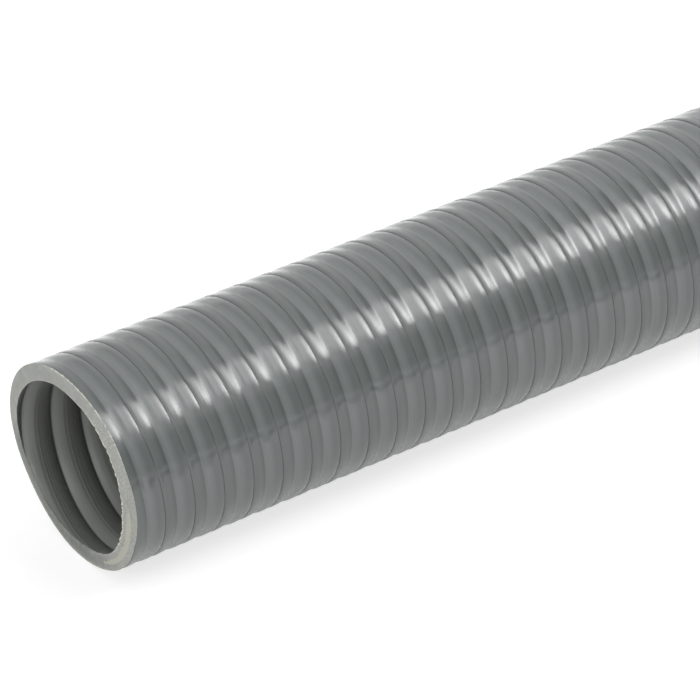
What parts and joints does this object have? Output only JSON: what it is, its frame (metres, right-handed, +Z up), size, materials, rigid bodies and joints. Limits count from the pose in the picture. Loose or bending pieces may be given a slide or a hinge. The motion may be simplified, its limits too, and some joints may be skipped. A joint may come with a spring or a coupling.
{
  "type": "sewer hose",
  "caption": "Flexible waste hose with a rigid spiral wound into its wall, cut square at both ends: straight at the near end, then laid in a flat ring.",
  "frame": {"origin": "centre of the bore at the near cut face", "axes": "+X runs from the near cut face into the hose along its straight stretch, +Z is up, and the ring lies flat toward -Y"},
  "size_m": [1.0685, 0.9778, 0.089],
  "materials": {
    "inner_plastic": "soft gloss",
    "outer_plastic": "gloss",
    "rod_plastic": "matt, sawn at the cut face"
  },
  "bodies": {
    "root": {"inner_wall": "inner_plastic", "outer_wall": "outer_plastic", "rigid_spiral": "rod_plastic", "coil": "outer_plastic", "inner_wall_far_end": "inner_plastic", "outer_wall_far_end": "outer_plastic", "rigid_spiral_far_end": "rod_plastic"}
  },
  "joints": []
}
